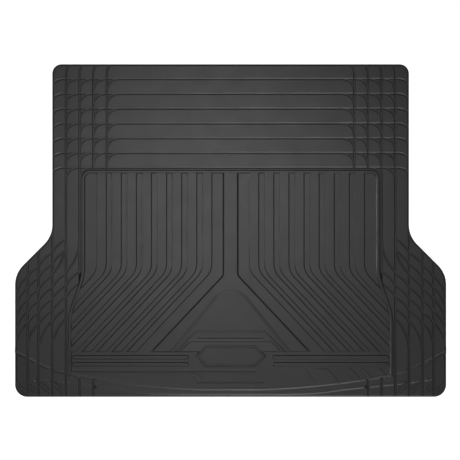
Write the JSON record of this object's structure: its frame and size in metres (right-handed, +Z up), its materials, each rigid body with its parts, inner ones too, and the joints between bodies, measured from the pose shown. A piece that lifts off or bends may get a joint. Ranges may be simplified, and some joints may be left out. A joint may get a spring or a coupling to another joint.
{
  "type": "car boot liner",
  "caption": "Flat moulded rubber car boot liner with flared wings, trim lines to cut along, a framed panel of raised bands and low curved ridges across its wide end.",
  "frame": {"origin": "under the middle of the sheet's bounding box, on the surface that the liner rests on", "axes": "+X across the liner from wing to wing, +Y from the wide end to the narrow end, +Z up through the sheet to its ribbed face"},
  "size_m": [1.4, 1.08, 0.0068],
  "materials": {
    "rubber": "dark grey moulded rubber with a fine pebbled grain and a soft satin sheen"
  },
  "bodies": {
    "root": {"boot_liner": "rubber"}
  },
  "joints": []
}
